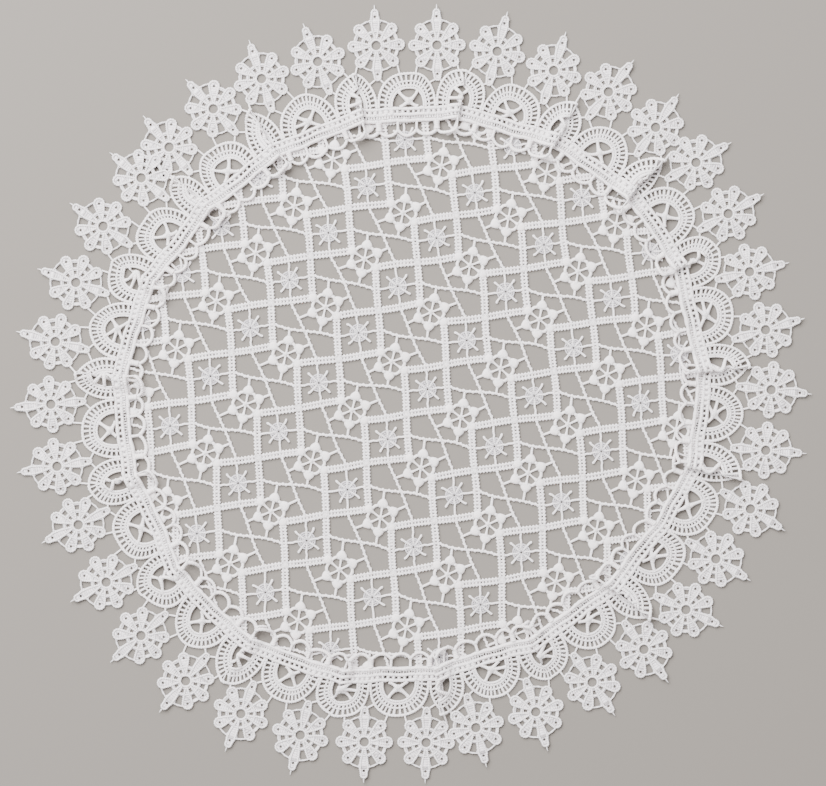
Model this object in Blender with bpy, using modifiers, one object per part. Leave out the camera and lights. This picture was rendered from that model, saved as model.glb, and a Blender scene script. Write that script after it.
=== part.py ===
# Round lace table doily: a flat ground of star wheels and flowers, and a lace edging of fans and flowers that
# is sewn over the margin of the ground and pleated at every second fan.
# Metres, +Z up, lying on z = 0 with its right side up and the origin under its middle. The named sizes are in
# millimetres and become metres where a mesh is made. Angles run counter-clockwise from +X.

import math

import bmesh
import bpy
import numpy as np
from mathutils.geometry import delaunay_2d_cdt

metresPerMm = 0.001

# Both layers of lace
laceThickness = 1.2
sewnGap = 0.3
laceColour = (0.93, 0.92, 0.92, 1)
laceRoughness = 0.85

# The round that the edging is laid in, measured to the middle of its heading band
headingRadius = 143.0
outOfRoundColumns = ("waves round", "along cosine", "along sine")
outOfRound = (
    (2, 2.46, 4.09),
    (3, 0.85, 0.10),
    (4, -0.80, -0.95),
)

# The ground's repeat: crosses of double bars whose arms reach from one flower to the next
groundReach = 2.4
groundSteps = 148
firstCross = (-31.2, 93.0)
barAcross = (21.22, 3.01)
barDown = (1.44, -21.52)
repeatAcross = (2.5, 0.5)
repeatDown = (-1.0, 1.0)
barHalf = 1.65
cordHalf = 0.75
spokeHalf = 0.6
wheelRadius = 4.4
holeReach = -2.6
smallestHole = 22.0
hiddenReach = -8.5

# How far the laid cloth of the ground is drawn out of its true repeat, by place in decimetres
drawnColumns = ("everywhere", "by y", "by y squared", "by x", "by x times y", "by x squared")
drawnAcross = (0.58, 0.18, -1.34, 0.09, -0.49, -0.39)
drawnDown = (1.15, 0.24, -2.82, 0.04, -0.23, -0.12)

# The edging, by reach outwards from the middle of its heading band
innerReach = -10.9
scallopDepth = 1.5
scallopsEach = 2
headingHalf = 4.0
fanReach = 20.0
fanHalf = 5.2
flowerReach = 34.1
firstFlower = 0.5
flowerGap = 0.8
tipLift = 1.1

# One side of a flower's outline, the other side is its mirror image
flowerColumns = ("degrees from its outer tip", "distance from its centre")
flowerOutline = (
    (0, 18.9),
    (6, 16.0),
    (17, 12.9),
    (34, 13.9),
    (56, 13.9),
    (67, 11.0),
    (80, 13.5),
    (100, 13.5),
    (112, 10.8),
    (126, 13.4),
    (142, 14.6),
)

# Height of the edging's underside over the table
heightColumns = ("reach", "height")
heightRows = (
    (-12.0, laceThickness + sewnGap),
    (4.0, laceThickness + sewnGap),
    (10.0, 0.7),
    (16.0, 0.0),
    (56.0, 0.0),
)

# Openings of a fan, as corners: mm round the ring from the fan's middle, and reach
openFanCorners = ((1.2, 5.2), (6.9, 5.2), (6.6, 9.2), (4.4, 12.2), (1.2, 13.2))
pleatedFanCorners = ((-8.2, 5.4), (-4.6, 5.4), (-4.6, 12.0), (-6.8, 11.2), (-8.0, 8.6))

# A pleat across its fold, and along it from the heading to the fan's edge
acrossColumns = ("place from foot to foot", "height", "lean")
acrossRows = (
    (-1.0, 0.0, 0.0),
    (-0.4, 1.0, 0.9),
    (0.3, 1.0, 0.8),
    (1.0, 0.0, 0.0),
)
alongColumns = ("reach", "height")
alongRows = (
    (innerReach, 0.45),
    (-4.0, 0.6),
    (4.0, 0.8),
    (11.0, 1.0),
    (fanReach, 0.6),
)
pleatHalf = 2.5
pleatHeightShare = 0.52
pleatLean = -2.1

# The fans in turn, beginning at the first flower. A fan with nothing taken up lies open.
fanColumns = ("degrees between its flowers", "cloth taken up", "place of its fold", "turn of its first flower")
fanRows = (
    (9.5, 9, 0.47, -7),
    (9.6, 0, 0.54, 7),
    (9.7, 8, 0.61, -6),
    (9.6, 0, 0.58, 0),
    (8.4, 12, 0.52, -9),
    (9.4, 0, 0.52, 8),
    (9.4, 9, 0.43, -5),
    (9.7, 0, 0.50, 6),
    (9.9, 9, 0.52, 0),
    (10.0, 0, 0.51, 5),
    (9.9, 8, 0.46, -3),
    (9.7, 0, 0.51, 5),
    (9.4, 10, 0.45, -7),
    (9.7, 0, 0.49, 8),
    (6.9, 12, 0.45, -5),
    (10.1, 0, 0.52, -1),
    (10.2, 8, 0.49, -6),
    (10.0, 0, 0.53, -2),
    (9.9, 9, 0.44, -6),
    (9.9, 0, 0.49, 3),
    (10.0, 8, 0.44, -2),
    (10.1, 0, 0.48, 5),
    (10.1, 9, 0.44, -3),
    (9.9, 0, 0.49, -1),
    (10.1, 8, 0.44, -2),
    (10.0, 0, 0.47, 5),
    (10.3, 9, 0.40, 3),
    (10.1, 0, 0.47, 7),
    (8.5, 11, 0.25, -4),
    (10.4, 0, 0.51, 4),
    (10.6, 9, 0.50, -4),
    (10.2, 0, 0.57, 2),
    (9.5, 9, 0.49, -6),
    (9.7, 0, 0.44, 14),
    (9.8, 0, 0.63, -3),
    (9.6, 9, 0.56, -13),
    (9.8, 0, 0.56, 5),
)


def ringRadius(degrees):
    turn = math.radians(degrees)
    sway = sum(along * math.cos(waves * turn) + beside * math.sin(waves * turn) for waves, along, beside in outOfRound)
    return headingRadius + sway


def ringPoint(degrees, reach, besideMm=0.0):
    radius = ringRadius(degrees) + reach
    turn = math.radians(degrees) + besideMm / radius
    return (radius * math.cos(turn), radius * math.sin(turn))


def latticePoint(cross, across, down):
    return (
        cross[0] + across * barAcross[0] + down * barDown[0],
        cross[1] + across * barAcross[1] + down * barDown[1],
    )


def outlineArea(points):
    total = sum(a[0] * b[1] - a[1] * b[0] for a, b in zip(points, points[1:] + points[:1]))
    return total / 2


def insetOutline(corners, halves):
    # Moves each side of an outline inwards by half the width of the bar that lies along it.
    if outlineArea(corners) < 0:
        corners = corners[::-1]
        halves = halves[-2::-1] + halves[-1:]
    sides = []
    for start, end, half in zip(corners, corners[1:] + corners[:1], halves):
        length = math.dist(start, end)
        normal = ((start[1] - end[1]) / length, (end[0] - start[0]) / length)
        sides.append((normal, normal[0] * start[0] + normal[1] * start[1] + half))
    points = []
    for (first, a), (second, b) in zip(sides[-1:] + sides[:-1], sides):
        cross = first[0] * second[1] - first[1] * second[0]
        points.append(((a * second[1] - b * first[1]) / cross, (b * first[0] - a * second[0]) / cross))
    return points


def starCorner(cross, across, down, turnAcross, turnDown):
    # One quarter of a star square: between two bars and two spokes, with its wheel taken off the corner.
    middle = latticePoint(cross, across, down)
    corner = latticePoint(cross, across + turnAcross, down + turnDown)
    beside = latticePoint(cross, across + turnAcross, down)
    under = latticePoint(cross, across, down + turnDown)
    quarter = insetOutline([corner, beside, middle, under], [barHalf, spokeHalf, spokeHalf, barHalf])
    nearest = min(range(4), key=lambda i: math.dist(quarter[i], middle))
    inner = quarter[nearest]
    before, after = quarter[nearest - 1], quarter[(nearest + 1) % 4]
    wheel = []
    for far in (before, after):
        share = (wheelRadius - math.dist(inner, middle)) / math.dist(inner, far)
        wheel.append((inner[0] + share * (far[0] - inner[0]), inner[1] + share * (far[1] - inner[1])))
    out = (inner[0] - middle[0], inner[1] - middle[1])
    share = wheelRadius / math.hypot(*out)
    wheel.insert(1, (middle[0] + share * out[0], middle[1] + share * out[1]))
    return quarter[:nearest] + wheel + quarter[nearest + 1:]


def cordCorner(cross, turn):
    # The large four-sided gap between a cross and the two thin cords that meet in the middle of the field.
    start = 0.75 - 0.75 * turn
    corners = [
        latticePoint(cross, start, start),
        latticePoint(cross, start + 0.5 * turn, start),
        latticePoint(cross, 0.75, 0.75),
        latticePoint(cross, start, start + 0.5 * turn),
    ]
    return insetOutline(corners, [barHalf, cordHalf, cordHalf, barHalf])


def drawnPoint(point):
    # Where the cloth as it was laid has a point of the true repeat.
    x, y = point[0] / 100, point[1] / 100
    terms = (1, y, y * y, x, x * y, x * x)
    shiftAcross = sum(term * share for term, share in zip(terms, drawnAcross))
    shiftDown = sum(term * share for term, share in zip(terms, drawnDown))
    return (point[0] + shiftAcross, point[1] + shiftDown)


def trimmedToRing(points, reach):
    # Cuts an outline off along the ring, where the heading band lies over it.
    middle = (sum(x for x, _ in points) / len(points), sum(y for _, y in points) / len(points))
    degrees = math.degrees(math.atan2(middle[1], middle[0]))
    out = (math.cos(math.radians(degrees)), math.sin(math.radians(degrees)))
    limit = ringRadius(degrees) + reach
    kept = []
    for start, end in zip(points, points[1:] + points[:1]):
        before = start[0] * out[0] + start[1] * out[1] - limit
        after = end[0] * out[0] + end[1] * out[1] - limit
        if before <= 0:
            kept.append(start)
        if before * after < 0:
            share = before / (before - after)
            kept.append((start[0] + share * (end[0] - start[0]), start[1] + share * (end[1] - start[1])))
    return [p for i, p in enumerate(kept) if math.dist(p, kept[i - 1]) > 0.3]


def isShown(points):
    # Whether the middle of an outline lies inside the edging's inner edge, where nothing covers it.
    x = sum(point[0] for point in points) / len(points)
    y = sum(point[1] for point in points) / len(points)
    return math.hypot(x, y) < ringRadius(math.degrees(math.atan2(y, x))) + hiddenReach


def groundHoles():
    holes = []
    for column in range(-5, 6):
        for row in range(-10, 11):
            steps = (column * repeatAcross[0] + row * repeatDown[0], column * repeatAcross[1] + row * repeatDown[1])
            cross = latticePoint(firstCross, *steps)
            holes += [cordCorner(cross, 1), cordCorner(cross, -1)]
            for turnAcross, turnDown in ((-0.5, -0.5), (0.5, -0.5), (0.5, 0.5), (-0.5, 0.5)):
                holes.append(starCorner(cross, 0.5, -0.5, turnAcross, turnDown))
    holes = [trimmedToRing([drawnPoint(point) for point in hole], holeReach) for hole in holes]
    return [hole for hole in holes if len(hole) > 2 and abs(outlineArea(hole)) > smallestHole and isShown(hole)]


def flowerPoint(degrees, turned, pointDegrees, distance, room):
    turn = math.radians(pointDegrees + turned)
    beside = max(-room, min(room, distance * math.sin(turn)))
    outwards = flowerReach + distance * math.cos(turn)
    centre = math.radians(degrees)
    radius = ringRadius(degrees) + outwards
    return (
        radius * math.cos(centre) - beside * math.sin(centre),
        radius * math.sin(centre) + beside * math.cos(centre),
    )


def fansRound():
    # Every fan with the directions of its first flower, of its fold or middle and of its last flower, the cloth
    # that it takes up, and the turns of the two flowers.
    fans = []
    start = firstFlower
    scale = 360 / sum(row[0] for row in fanRows)
    for row, following in zip(fanRows, fanRows[1:] + fanRows[:1]):
        span, takenUp, place, turned = row
        end = start + span * scale
        fans.append((start, start + (end - start) * place, end, takenUp, turned, following[3]))
        start = end
    return fans


def foldAt(degrees, reach, fans):
    # The rise and the sideways lean of the cloth where a pleat passes.
    radius = ringRadius(degrees) + reach
    for _, fold, _, takenUp, _, _ in fans:
        beside = math.radians((degrees - fold + 180) % 360 - 180) * radius
        if takenUp and abs(beside) < pleatHalf + 0.01 and reach < fanReach + 2:
            place = beside / pleatHalf
            high = np.interp(place, [row[0] for row in acrossRows], [row[1] for row in acrossRows])
            lean = np.interp(place, [row[0] for row in acrossRows], [row[2] for row in acrossRows])
            along = np.interp(reach, [row[0] for row in alongRows], [row[1] for row in alongRows])
            return float(high * along * takenUp * pleatHeightShare), float(lean * along * pleatLean)
    return 0.0, 0.0


def settledPoint(point, fans):
    # Takes a point of the flat layout to where the laid and pleated cloth has it.
    degrees = math.degrees(math.atan2(point[1], point[0]))
    reach = math.hypot(*point) - ringRadius(degrees)
    height = float(np.interp(reach, [row[0] for row in heightRows], [row[1] for row in heightRows]))
    rise, lean = foldAt(degrees, reach, fans)
    wave = 0.5 + 0.5 * math.sin(math.radians(7 * degrees) + 1.0)
    height += rise + tipLift * wave * max(0.0, (reach - fanReach) / 34) ** 1.5
    turn = math.radians(degrees)
    return (
        (point[0] - lean * math.sin(turn)) * metresPerMm,
        (point[1] + lean * math.cos(turn)) * metresPerMm,
        height * metresPerMm,
    )


def edgingLayout():
    # The outlines, openings and creases of the edging, as closed and open runs of points in the flat.
    fans = fansRound()
    outer, inner, openings, creases = [], [], [], []
    bandOut, bandSlope = [], []
    for start, fold, end, takenUp, turned, nextTurned in fans:
        room = math.radians(end - start) * (ringRadius(fold) + flowerReach) / 2 - flowerGap
        outer += [flowerPoint(start, turned, angle, far, room) for angle, far in flowerOutline]
        columns = [pleatHalf * row[0] for row in acrossRows] if takenUp else [0.0]
        edge = [-fanHalf] + columns + [fanHalf]
        outer += [ringPoint(fold, fanReach - 0.7 * (beside / fanHalf) ** 2, beside) for beside in edge]
        outer += [flowerPoint(end, nextTurned, -angle, far, room) for angle, far in reversed(flowerOutline[1:])]

        scallop = (end - start) / scallopsEach
        for turn in range(scallopsEach):
            for place, depth in ((0.0, scallopDepth), (0.25, 0.0), (0.75, 0.0)):
                degrees = start + scallop * (turn + place)
                beside = math.radians(degrees - fold) * headingRadius
                if not takenUp or abs(beside) > pleatHalf + 0.8:
                    inner.append((degrees, ringPoint(degrees, innerReach + depth)))
        bandOut.append((start, ringPoint(start, headingHalf)))
        bandSlope.append((start, ringPoint(start, 16.0)))
        if takenUp:
            for column in columns:
                rows = [ringPoint(fold, reach, column) for reach, _ in alongRows]
                creases.append(rows)
                degrees = math.degrees(math.atan2(rows[0][1], rows[0][0])) % 360
                inner.append((degrees + 360 * round((fold - degrees) / 360), rows[0]))
                bandOut.append((fold + math.degrees(column / 147), rows[2]))
            openings.append([ringPoint(fold, reach, beside) for beside, reach in pleatedFanCorners])
        else:
            bandOut.append((fold, ringPoint(fold, headingHalf)))
            bandSlope.append((fold, ringPoint(fold, 16.0)))
            for side in (-1, 1):
                corners = openFanCorners[::side]
                openings.append([ringPoint(fold, reach, side * beside) for beside, reach in corners])
    inner = [point for _, point in sorted(inner)]
    bandOut = [point for _, point in sorted(bandOut)]
    return fans, outer, inner, openings, creases + [bandOut + bandOut[:1]], [point for _, point in bandSlope]


def isInside(points, outline):
    # Which of the points lie inside a closed outline, by counting the sides that a ray crosses.
    x, y = points[:, 0, None], points[:, 1, None]
    start = np.array(outline)
    end = np.roll(start, -1, axis=0)
    spans = (start[:, 1] > y) != (end[:, 1] > y)
    rise = np.where(end[:, 1] == start[:, 1], 1.0, end[:, 1] - start[:, 1])
    meets = start[:, 0] + (y - start[:, 1]) * (end[:, 0] - start[:, 0]) / rise
    return (spans & (x < meets)).sum(axis=1) % 2 == 1


def laceMaterial(name):
    material = bpy.data.materials.new(name)
    material.use_nodes = True
    shader = next(node for node in material.node_tree.nodes if node.type == "BSDF_PRINCIPLED")
    shader.inputs["Base Color"].default_value = laceColour
    shader.inputs["Roughness"].default_value = laceRoughness
    shader.inputs["Metallic"].default_value = 0.0
    material.diffuse_color = laceColour
    return material


def addPiece(name, mesh, collection, parent):
    piece = bpy.data.objects.new(name, mesh)
    mesh.materials.clear()
    mesh.materials.append(laceMaterial(name + "_thread"))
    collection.objects.link(piece)
    piece.parent = parent
    return piece


def makeGround(collection, parent):
    edge = [ringPoint(360 * step / groundSteps, groundReach) for step in range(groundSteps)]
    curve = bpy.data.curves.new("ground_outline", "CURVE")
    curve.dimensions = "2D"
    curve.fill_mode = "BOTH"
    curve.extrude = laceThickness / 2
    for outline in [edge] + groundHoles():
        spline = curve.splines.new("POLY")
        spline.points.add(len(outline) - 1)
        for point, (x, y) in zip(spline.points, outline):
            point.co = (x, y, 0, 1)
        spline.use_cyclic_u = True
    guide = bpy.data.objects.new("ground_outline", curve)
    collection.objects.link(guide)
    graph = bpy.context.evaluated_depsgraph_get()
    mesh = bpy.data.meshes.new_from_object(guide.evaluated_get(graph))
    bpy.data.objects.remove(guide)
    cloth = bmesh.new()
    cloth.from_mesh(mesh)
    bmesh.ops.remove_doubles(cloth, verts=cloth.verts, dist=0.001)
    bmesh.ops.scale(cloth, verts=cloth.verts, vec=(metresPerMm, metresPerMm, metresPerMm))
    bmesh.ops.recalc_face_normals(cloth, faces=cloth.faces)
    cloth.to_mesh(mesh)
    cloth.free()
    mesh.name = "centre_ground"
    ground = addPiece("centre_ground", mesh, collection, parent)
    ground.location.z = laceThickness / 2 * metresPerMm
    return ground


def makeEdging(collection, parent):
    fans, outer, inner, openings, creases, slopePoints = edgingLayout()
    points, sides = [], []
    for outline in [outer, inner] + openings:
        first = len(points)
        points += outline
        sides += [(first + i, first + (i + 1) % len(outline)) for i in range(len(outline))]
    for crease in creases:
        first = len(points)
        points += crease
        sides += [(first + i, first + i + 1) for i in range(len(crease) - 1)]
    points += slopePoints
    flat = delaunay_2d_cdt(points, sides, [], 0, 0.00001, False)
    places = np.array([tuple(point) for point in flat[0]])
    triangles = np.array([tuple(face) for face in flat[2]])
    middles = places[triangles].mean(axis=1)
    kept = isInside(middles, outer) & ~isInside(middles, inner)
    for opening in openings:
        kept &= ~isInside(middles, opening)
    mesh = bpy.data.meshes.new("lace_edging")
    mesh.from_pydata([settledPoint(place, fans) for place in places], [], triangles[kept].tolist())
    cloth = bmesh.new()
    cloth.from_mesh(mesh)
    loose = [corner for corner in cloth.verts if not corner.link_faces]
    bmesh.ops.delete(cloth, geom=loose, context="VERTS")
    cloth.to_mesh(mesh)
    cloth.free()
    edging = addPiece("lace_edging", mesh, collection, parent)
    thickness = edging.modifiers.new("thickness", "SOLIDIFY")
    thickness.thickness = laceThickness * metresPerMm
    thickness.offset = 1
    return edging


def layInMiddle(origin, pieces):
    # Moves the doily so that the middle of its outline is over the origin.
    bpy.context.view_layer.update()
    graph = bpy.context.evaluated_depsgraph_get()
    corners = []
    for piece in pieces:
        solid = piece.evaluated_get(graph)
        corners += [solid.matrix_world @ corner.co for corner in solid.data.vertices]
    for axis in (0, 1):
        reach = [corner[axis] for corner in corners]
        origin.location[axis] = -(min(reach) + max(reach)) / 2


def makeDoily():
    for old in list(bpy.data.objects):
        bpy.data.objects.remove(old)
    collection = bpy.data.collections.new("lace_doily")
    bpy.context.scene.collection.children.link(collection)
    origin = bpy.data.objects.new("doily_middle", None)
    collection.objects.link(origin)
    pieces = [makeGround(collection, origin), makeEdging(collection, origin)]
    layInMiddle(origin, pieces)


makeDoily()
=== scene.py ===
import math

import bmesh
import bpy
import numpy as np
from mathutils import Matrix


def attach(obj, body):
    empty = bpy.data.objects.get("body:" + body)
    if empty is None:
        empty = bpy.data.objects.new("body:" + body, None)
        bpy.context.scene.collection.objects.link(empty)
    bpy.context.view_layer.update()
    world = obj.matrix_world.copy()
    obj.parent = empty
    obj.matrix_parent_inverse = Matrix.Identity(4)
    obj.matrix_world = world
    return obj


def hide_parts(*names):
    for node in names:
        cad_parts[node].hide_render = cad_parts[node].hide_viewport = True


# Lace doily lying flat: a sewn ground of bars, star wheels and flowers, and a pleated edging of fans and flowers.
# Patterns are drawn flat in millimetres, swept into threads, and then settled onto the table in metres.

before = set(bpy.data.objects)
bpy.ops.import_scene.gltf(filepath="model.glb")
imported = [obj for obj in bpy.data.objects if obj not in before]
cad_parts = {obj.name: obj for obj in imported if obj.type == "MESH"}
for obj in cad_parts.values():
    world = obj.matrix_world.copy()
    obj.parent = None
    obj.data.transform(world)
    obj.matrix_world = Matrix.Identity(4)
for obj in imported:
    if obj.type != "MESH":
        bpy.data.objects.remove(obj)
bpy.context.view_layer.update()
mm = 0.001
print("frame loaded")

roundShape = {
    "headingRadius": 143.0,  # middle of the edging's heading band
    "outOfRound": ((2, 2.46, 4.09), (3, 0.85, 0.10), (4, -0.80, -0.95)),  # waves round, along cosine, along sine
    "middle": (-0.81, 0.21),  # where the round's middle lies on the table
    "groundThick": 1.1,
    "edgingThick": 1.1,
}
middle = np.array(roundShape["middle"])


def ringRadius(angle):
    radius = roundShape["headingRadius"]
    for waves, alongCosine, alongSine in roundShape["outOfRound"]:
        radius = radius + alongCosine * np.cos(waves * angle) + alongSine * np.sin(waves * angle)
    return radius


def reachOf(x, y):  # how far a point lies outside the heading's middle line
    return np.hypot(x - middle[0], y - middle[1]) - ringRadius(np.arctan2(y - middle[1], x - middle[0]))


# Thread finishes

threadLook = {
    "fuzzScale": 2600.0,
    "toneScale": 34.0,
    "glow": 0.3,  # how much light goes through the cotton
    "glowDeep": 0.0012,
}


def addNode(tree, kind, values=(), **settings):
    node = tree.nodes.new(kind)
    for key, value in settings.items():
        setattr(node, key, value)
    for key, value in dict(values).items():
        node.inputs[key].default_value = value
    return node


def plyGroup():  # twist of the ply along a thread, its fuzz, and the soft changes of tone over the cloth
    tree = bpy.data.node_groups.new("threadPly", "ShaderNodeTree")
    for name, value in (("Pitch", 0.85), ("Slant", 1.0), ("Fuzz Scale", 2600.0), ("Tone Scale", 34.0)):
        tree.interface.new_socket(name, in_out="INPUT", socket_type="NodeSocketFloat").default_value = value
    for name in ("Ply", "Fuzz", "Tone"):
        tree.interface.new_socket(name, in_out="OUTPUT", socket_type="NodeSocketFloat")
    entry = tree.nodes.new("NodeGroupInput")
    result = tree.nodes.new("NodeGroupOutput")
    along = addNode(tree, "ShaderNodeAttribute", attribute_name="along")
    around = addNode(tree, "ShaderNodeAttribute", attribute_name="around")
    turns = addNode(tree, "ShaderNodeMath", operation="DIVIDE")
    slanted = addNode(tree, "ShaderNodeMath", operation="MULTIPLY_ADD")
    angle = addNode(tree, "ShaderNodeMath", {1: 2 * math.pi}, operation="MULTIPLY")
    wave = addNode(tree, "ShaderNodeMath", operation="SINE")
    ply = addNode(tree, "ShaderNodeMapRange", {"From Min": -1.0, "From Max": 1.0})
    place = tree.nodes.new("ShaderNodeTexCoord")
    fuzz = addNode(tree, "ShaderNodeTexNoise", {"Detail": 2.0, "Roughness": 0.6})
    tone = addNode(tree, "ShaderNodeTexNoise", {"Detail": 1.0})
    links = tree.links
    links.new(along.outputs["Fac"], turns.inputs[0])
    links.new(entry.outputs["Pitch"], turns.inputs[1])
    links.new(around.outputs["Fac"], slanted.inputs[0])
    links.new(entry.outputs["Slant"], slanted.inputs[1])
    links.new(turns.outputs[0], slanted.inputs[2])
    links.new(slanted.outputs[0], angle.inputs[0])
    links.new(angle.outputs[0], wave.inputs[0])
    links.new(wave.outputs[0], ply.inputs["Value"])
    links.new(place.outputs["Object"], fuzz.inputs["Vector"])
    links.new(place.outputs["Object"], tone.inputs["Vector"])
    links.new(entry.outputs["Fuzz Scale"], fuzz.inputs["Scale"])
    links.new(entry.outputs["Tone Scale"], tone.inputs["Scale"])
    links.new(ply.outputs[0], result.inputs["Ply"])
    links.new(fuzz.outputs["Fac"], result.inputs["Fuzz"])
    links.new(tone.outputs["Fac"], result.inputs["Tone"])
    return tree


threadPly = plyGroup()


def threadFinish(name, bright, shade, roughness, pitch, slant, sheen, relief):
    material = bpy.data.materials.new(name)
    material.use_nodes = True
    tree = material.node_tree
    links = tree.links
    shader = tree.nodes["Principled BSDF"]
    ply = addNode(tree, "ShaderNodeGroup", node_tree=threadPly)
    ply.inputs["Pitch"].default_value = pitch
    ply.inputs["Slant"].default_value = slant
    ply.inputs["Fuzz Scale"].default_value = threadLook["fuzzScale"]
    ply.inputs["Tone Scale"].default_value = threadLook["toneScale"]
    # painted shade: the base colour runs from the bright colour on the ply's crests to the darker shade colour in its
    # grooves, and the random tone noise moves it a little either way
    grooveShade = addNode(tree, "ShaderNodeMapRange", {"From Min": 0.0, "From Max": 0.55, "To Min": 0.0, "To Max": 0.75})
    mixed = addNode(tree, "ShaderNodeMath", {1: 0.5, 2: -0.08}, operation="MULTIPLY_ADD")
    lifted = addNode(tree, "ShaderNodeMath", operation="ADD", use_clamp=True)
    colour = addNode(tree, "ShaderNodeMix", data_type="RGBA")
    colour.inputs["A"].default_value = (*shade, 1)
    colour.inputs["B"].default_value = (*bright, 1)
    rough = addNode(tree, "ShaderNodeMapRange", {"To Min": roughness - 0.08, "To Max": roughness + 0.1})
    height = addNode(tree, "ShaderNodeMath", {1: 0.35}, operation="MULTIPLY_ADD")
    bump = addNode(tree, "ShaderNodeBump", {"Strength": relief, "Distance": 0.00018})
    links.new(ply.outputs["Ply"], grooveShade.inputs["Value"])
    links.new(ply.outputs["Tone"], mixed.inputs[0])
    links.new(grooveShade.outputs[0], lifted.inputs[0])
    links.new(mixed.outputs[0], lifted.inputs[1])
    links.new(lifted.outputs[0], colour.inputs["Factor"])
    links.new(colour.outputs["Result"], shader.inputs["Base Color"])
    links.new(ply.outputs["Fuzz"], rough.inputs["Value"])
    links.new(rough.outputs[0], shader.inputs["Roughness"])
    links.new(ply.outputs["Fuzz"], height.inputs[0])
    links.new(ply.outputs["Ply"], height.inputs[2])
    links.new(height.outputs[0], bump.inputs["Height"])
    links.new(bump.outputs["Normal"], shader.inputs["Normal"])
    shader.inputs["Specular IOR Level"].default_value = 0.3
    shader.inputs["Sheen Weight"].default_value = sheen
    shader.inputs["Sheen Roughness"].default_value = 0.45
    shader.inputs["Subsurface Weight"].default_value = threadLook["glow"]
    shader.inputs["Subsurface Radius"].default_value = (1.0, 0.9, 0.85)
    shader.inputs["Subsurface Scale"].default_value = threadLook["glowDeep"]
    return material


# Each finish gives a bright colour for the ply's crests and a darker painted shade colour for its grooves
barThread = threadFinish("barThread", (0.87, 0.82, 0.825), (0.68, 0.63, 0.635), 0.72, 0.85, 1.0, 0.12, 0.8)
wheelThread = threadFinish("wheelThread", (0.72, 0.68, 0.70), (0.40, 0.37, 0.40), 0.78, 0.7, 1.0, 0.1, 0.8)
satinThread = threadFinish("satinThread", (0.86, 0.81, 0.81), (0.71, 0.66, 0.66), 0.56, 0.5, 0.0, 0.2, 0.5)
edgingThread = threadFinish("edgingThread", (0.88, 0.83, 0.835), (0.68, 0.63, 0.64), 0.7, 0.85, 1.0, 0.12, 0.8)
petalThread = threadFinish("petalThread", (0.87, 0.82, 0.825), (0.68, 0.63, 0.64), 0.68, 0.85, 1.0, 0.15, 0.8)
infillThread = threadFinish("infillThread", (0.79, 0.745, 0.755), (0.44, 0.405, 0.43), 0.72, 1.15, 0.0, 0.1, 1.0)
seamThread = threadFinish("seamThread", (0.85, 0.805, 0.81), (0.58, 0.54, 0.545), 0.6, 0.5, 1.0, 0.1, 0.8)
print("thread finishes made")


# Geometry trees that every piece shares

def newTree(name, sockets):
    tree = bpy.data.node_groups.new(name, "GeometryNodeTree")
    tree.interface.new_socket("Geometry", in_out="INPUT", socket_type="NodeSocketGeometry")
    for socketName, kind in sockets:
        tree.interface.new_socket(socketName, in_out="INPUT", socket_type=kind)
    tree.interface.new_socket("Geometry", in_out="OUTPUT", socket_type="NodeSocketGeometry")
    return tree, tree.nodes.new("NodeGroupInput"), tree.nodes.new("NodeGroupOutput")


def finishTree(tree, entry, result, geometry):
    links = tree.links
    smooth = tree.nodes.new("GeometryNodeSetShadeSmooth")
    realize = tree.nodes.new("GeometryNodeRealizeInstances")
    finish = tree.nodes.new("GeometryNodeSetMaterial")
    links.new(geometry, realize.inputs["Geometry"])
    links.new(realize.outputs["Geometry"], smooth.inputs["Geometry"])
    links.new(smooth.outputs["Geometry"], finish.inputs["Geometry"])
    links.new(entry.outputs["Material"], finish.inputs["Material"])
    links.new(finish.outputs["Geometry"], result.inputs["Geometry"])


def threadTree():  # sweeps each path into a thread, as wide as the path's own halfWidth says
    sockets = (("Sides", "NodeSocketInt"), ("Height", "NodeSocketFloat"), ("Material", "NodeSocketMaterial"))
    tree, entry, result = newTree("sewnThread", sockets)
    links = tree.links
    paths = tree.nodes.new("GeometryNodeMeshToCurve")
    upright = addNode(tree, "GeometryNodeSetCurveNormal", mode="Z_UP")
    length = tree.nodes.new("GeometryNodeSplineParameter")
    alongStore = addNode(tree, "GeometryNodeStoreNamedAttribute", {"Name": "along"}, domain="POINT")
    profile = tree.nodes.new("GeometryNodeCurvePrimitiveCircle")
    factor = tree.nodes.new("GeometryNodeSplineParameter")
    aroundStore = addNode(tree, "GeometryNodeStoreNamedAttribute", {"Name": "around"}, domain="POINT")
    squash = tree.nodes.new("ShaderNodeCombineXYZ")
    squash.inputs["X"].default_value = 1.0
    squash.inputs["Z"].default_value = 1.0
    flat = tree.nodes.new("GeometryNodeTransform")
    width = addNode(tree, "GeometryNodeInputNamedAttribute", {"Name": "halfWidth"}, data_type="FLOAT")
    sweep = addNode(tree, "GeometryNodeCurveToMesh", {"Fill Caps": True})
    links.new(entry.outputs["Geometry"], paths.inputs["Mesh"])
    links.new(paths.outputs["Curve"], upright.inputs["Curve"])
    links.new(upright.outputs["Curve"], alongStore.inputs["Geometry"])
    links.new(length.outputs["Length"], alongStore.inputs["Value"])
    links.new(alongStore.outputs["Geometry"], sweep.inputs["Curve"])
    links.new(entry.outputs["Sides"], profile.inputs["Resolution"])
    links.new(profile.outputs["Curve"], aroundStore.inputs["Geometry"])
    links.new(factor.outputs["Factor"], aroundStore.inputs["Value"])
    links.new(entry.outputs["Height"], squash.inputs["Y"])
    links.new(squash.outputs["Vector"], flat.inputs["Scale"])
    links.new(aroundStore.outputs["Geometry"], flat.inputs["Geometry"])
    links.new(flat.outputs["Geometry"], sweep.inputs["Profile Curve"])
    links.new(width.outputs["Attribute"], sweep.inputs["Scale"])
    finishTree(tree, entry, result, sweep.outputs["Mesh"])
    return tree


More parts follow.
